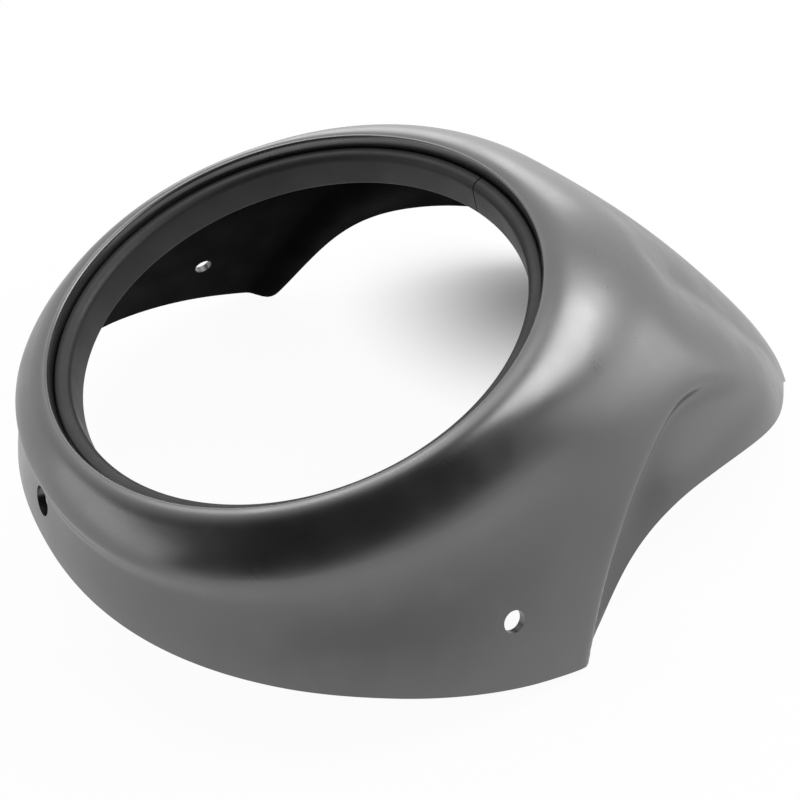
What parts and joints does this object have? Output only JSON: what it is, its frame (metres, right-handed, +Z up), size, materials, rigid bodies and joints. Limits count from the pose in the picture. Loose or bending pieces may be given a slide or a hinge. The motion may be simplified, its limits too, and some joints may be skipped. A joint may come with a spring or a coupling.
{
  "type": "headlight cowl",
  "caption": "Moulded headlight cowl: a rounded shell with a lamp opening edged in rubber trim, a skirt with fixing holes and a hooded tail.",
  "frame": {"origin": "centre of the footprint on the table the cowl lies on", "axes": "+X from the chin to the tail, +Z up from the table, Y across the cowl, which is the same on both sides but for the joint in the trim"},
  "size_m": [0.3521, 0.2724, 0.1224],
  "materials": {
    "shell_plastic": "satin black moulded plastic",
    "trim_rubber": "satin black rubber"
  },
  "bodies": {
    "root": {"cowl_shell": "shell_plastic", "rim_trim": "trim_rubber"}
  },
  "joints": []
}
